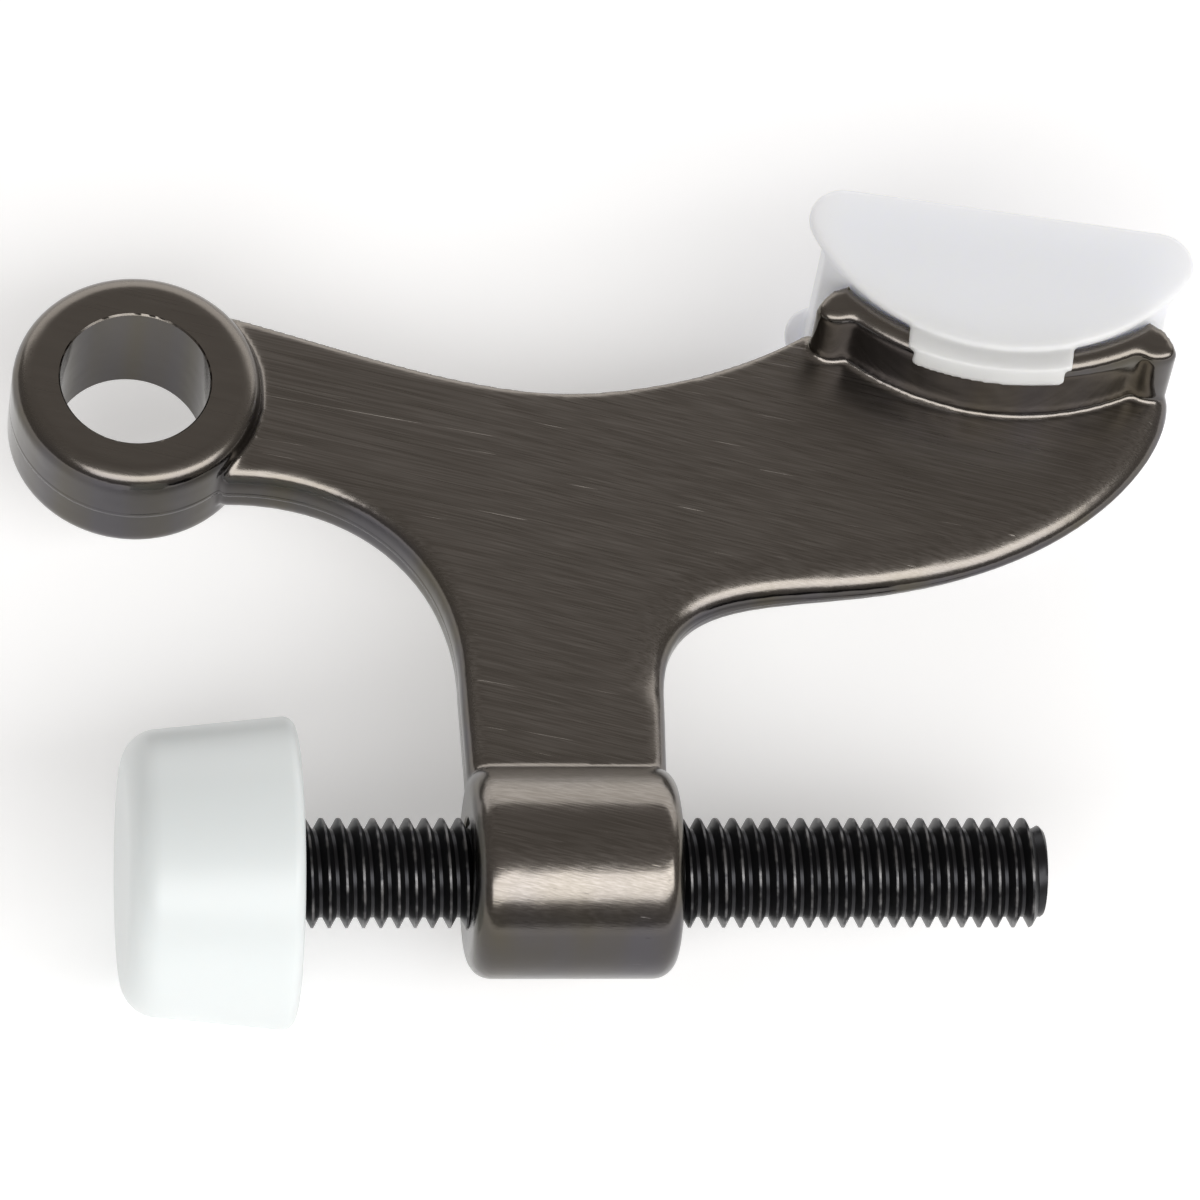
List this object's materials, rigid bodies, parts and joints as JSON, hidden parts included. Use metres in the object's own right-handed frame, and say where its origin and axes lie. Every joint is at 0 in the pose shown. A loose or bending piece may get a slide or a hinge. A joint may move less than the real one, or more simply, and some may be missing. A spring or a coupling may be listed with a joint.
{
  "type": "hinge-pin door stop",
  "caption": "Door stop that hangs on a hinge pin: cast arm, adjustable threaded screw with a soft tip, and a casing pad that clips over the cast cradle.",
  "frame": {"origin": "on the axis of the hinge-pin bore, halfway up the ring", "axes": "+Z along the hinge pin, +X along the adjusting screw from its soft tip to its free end, +Y from the screw towards the casing pad"},
  "size_m": [0.0882, 0.065, 0.0228],
  "materials": {
    "brushed_plated_zinc": "brushed black-nickel plating on a zinc casting, polished edges",
    "black_oxide_steel": "black oxide, lightly oiled",
    "white_rubber": "semi-gloss moulded white rubber",
    "milky_vinyl": "translucent milky soft vinyl, satin"
  },
  "bodies": {
    "arm": {"arm_casting": "brushed_plated_zinc", "casing_pad": "milky_vinyl"},
    "tip": {"soft_tip": "white_rubber"},
    "screw": {"adjusting_screw": "black_oxide_steel"}
  },
  "joints": [
    {"name": "tip_travel", "type": "slide", "parent": "arm", "child": "tip", "axis": [1, 0, 0], "range_m": [-0.026, 0.012]},
    {"name": "screw_turn", "type": "hinge", "parent": "tip", "child": "screw", "pos_m": [0.03, -0.0392, 0], "axis": [1, 0, 0], "range_deg": [-7489, 3457]}
  ],
  "couplings": [
    {"joint": "screw_turn", "follows": "tip_travel", "rad_per_m": 5026.5}
  ]
}
